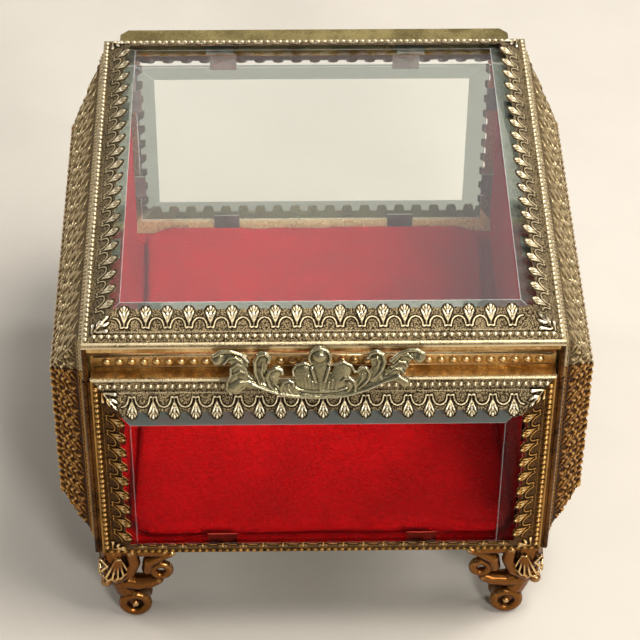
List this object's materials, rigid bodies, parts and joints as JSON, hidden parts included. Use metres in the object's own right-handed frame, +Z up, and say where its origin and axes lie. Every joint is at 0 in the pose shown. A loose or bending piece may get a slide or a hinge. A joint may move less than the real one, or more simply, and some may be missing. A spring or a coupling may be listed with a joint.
{
  "type": "glass casket",
  "caption": "Keepsake casket of stamped antique-gilt metal with bevelled glass panes, swelled sides, scrolled feet, a velvet lining and a hinged lid.",
  "frame": {"origin": "centre of the bounding box at the height of the feet's flat toes", "axes": "+Z up, the front with the pull faces -Y, +X to the right when looking at the front"},
  "size_m": [0.1278, 0.1308, 0.0982],
  "materials": {
    "gilt_brass": "antique gilt, dark in the recesses and bright on the ridges",
    "cast_bronze": "copper toned casting with gilt highlights",
    "cast_pull": "worn pewter toned casting with pale ridges",
    "dull_sheet": "plain dull sheet",
    "velvet": "short red pile",
    "board": "matte",
    "glass": "clear with bevelled edges"
  },
  "bodies": {
    "case": {"bottom_plate": "dull_sheet", "floor_board": "board", "floor_pad": "velvet", "lining_left": "velvet", "lining_right": "velvet", "front_frame_bottom": "gilt_brass", "front_frame_right": "gilt_brass", "front_frame_top": "gilt_brass", "front_frame_left": "gilt_brass", "back_frame_bottom": "gilt_brass", "back_frame_right": "gilt_brass", "back_frame_top": "gilt_brass", "back_frame_left": "gilt_brass", "front_glass": "glass", "back_glass": "glass", "front_glass_tabs": "dull_sheet", "back_glass_tabs": "dull_sheet", "front_collar": "gilt_brass", "post_front_left": "gilt_brass", "post_front_right": "gilt_brass", "post_back_left": "gilt_brass", "post_back_right": "gilt_brass", "side_face_left": "gilt_brass", "side_face_right": "gilt_brass", "chamfer_front_left": "gilt_brass", "chamfer_front_right": "gilt_brass", "chamfer_back_left": "gilt_brass", "chamfer_back_right": "gilt_brass", "lower_hip_left": "gilt_brass", "lower_hip_right": "gilt_brass", "side_shelf_left": "dull_sheet", "side_shelf_right": "dull_sheet", "foot_front_left": "cast_bronze", "foot_front_right": "cast_bronze", "foot_back_left": "cast_bronze", "foot_back_right": "cast_bronze", "hinge_leaf_case": "dull_sheet", "hinge_pin": "dull_sheet"},
    "lid": {"lid_frame_front": "gilt_brass", "lid_frame_right": "gilt_brass", "lid_frame_back": "gilt_brass", "lid_frame_left": "gilt_brass", "lid_glass": "glass", "lid_glass_tabs": "dull_sheet", "lid_lip": "gilt_brass", "lid_post_front_left": "gilt_brass", "lid_post_front_right": "gilt_brass", "lid_post_back_left": "gilt_brass", "lid_post_back_right": "gilt_brass", "lid_wing_left": "gilt_brass", "lid_wing_right": "gilt_brass", "lid_hip_front_left": "gilt_brass", "lid_hip_front_right": "gilt_brass", "lid_hip_back_left": "gilt_brass", "lid_hip_back_right": "gilt_brass", "hinge_leaf_lid": "dull_sheet", "handle_pull": "cast_pull"}
  },
  "joints": [
    {"name": "lid_hinge", "type": "hinge", "parent": "case", "child": "lid", "pos_m": [0, 0.05871, 0.091], "axis": [-1, 0, 0], "range_deg": [0, 98]}
  ]
}
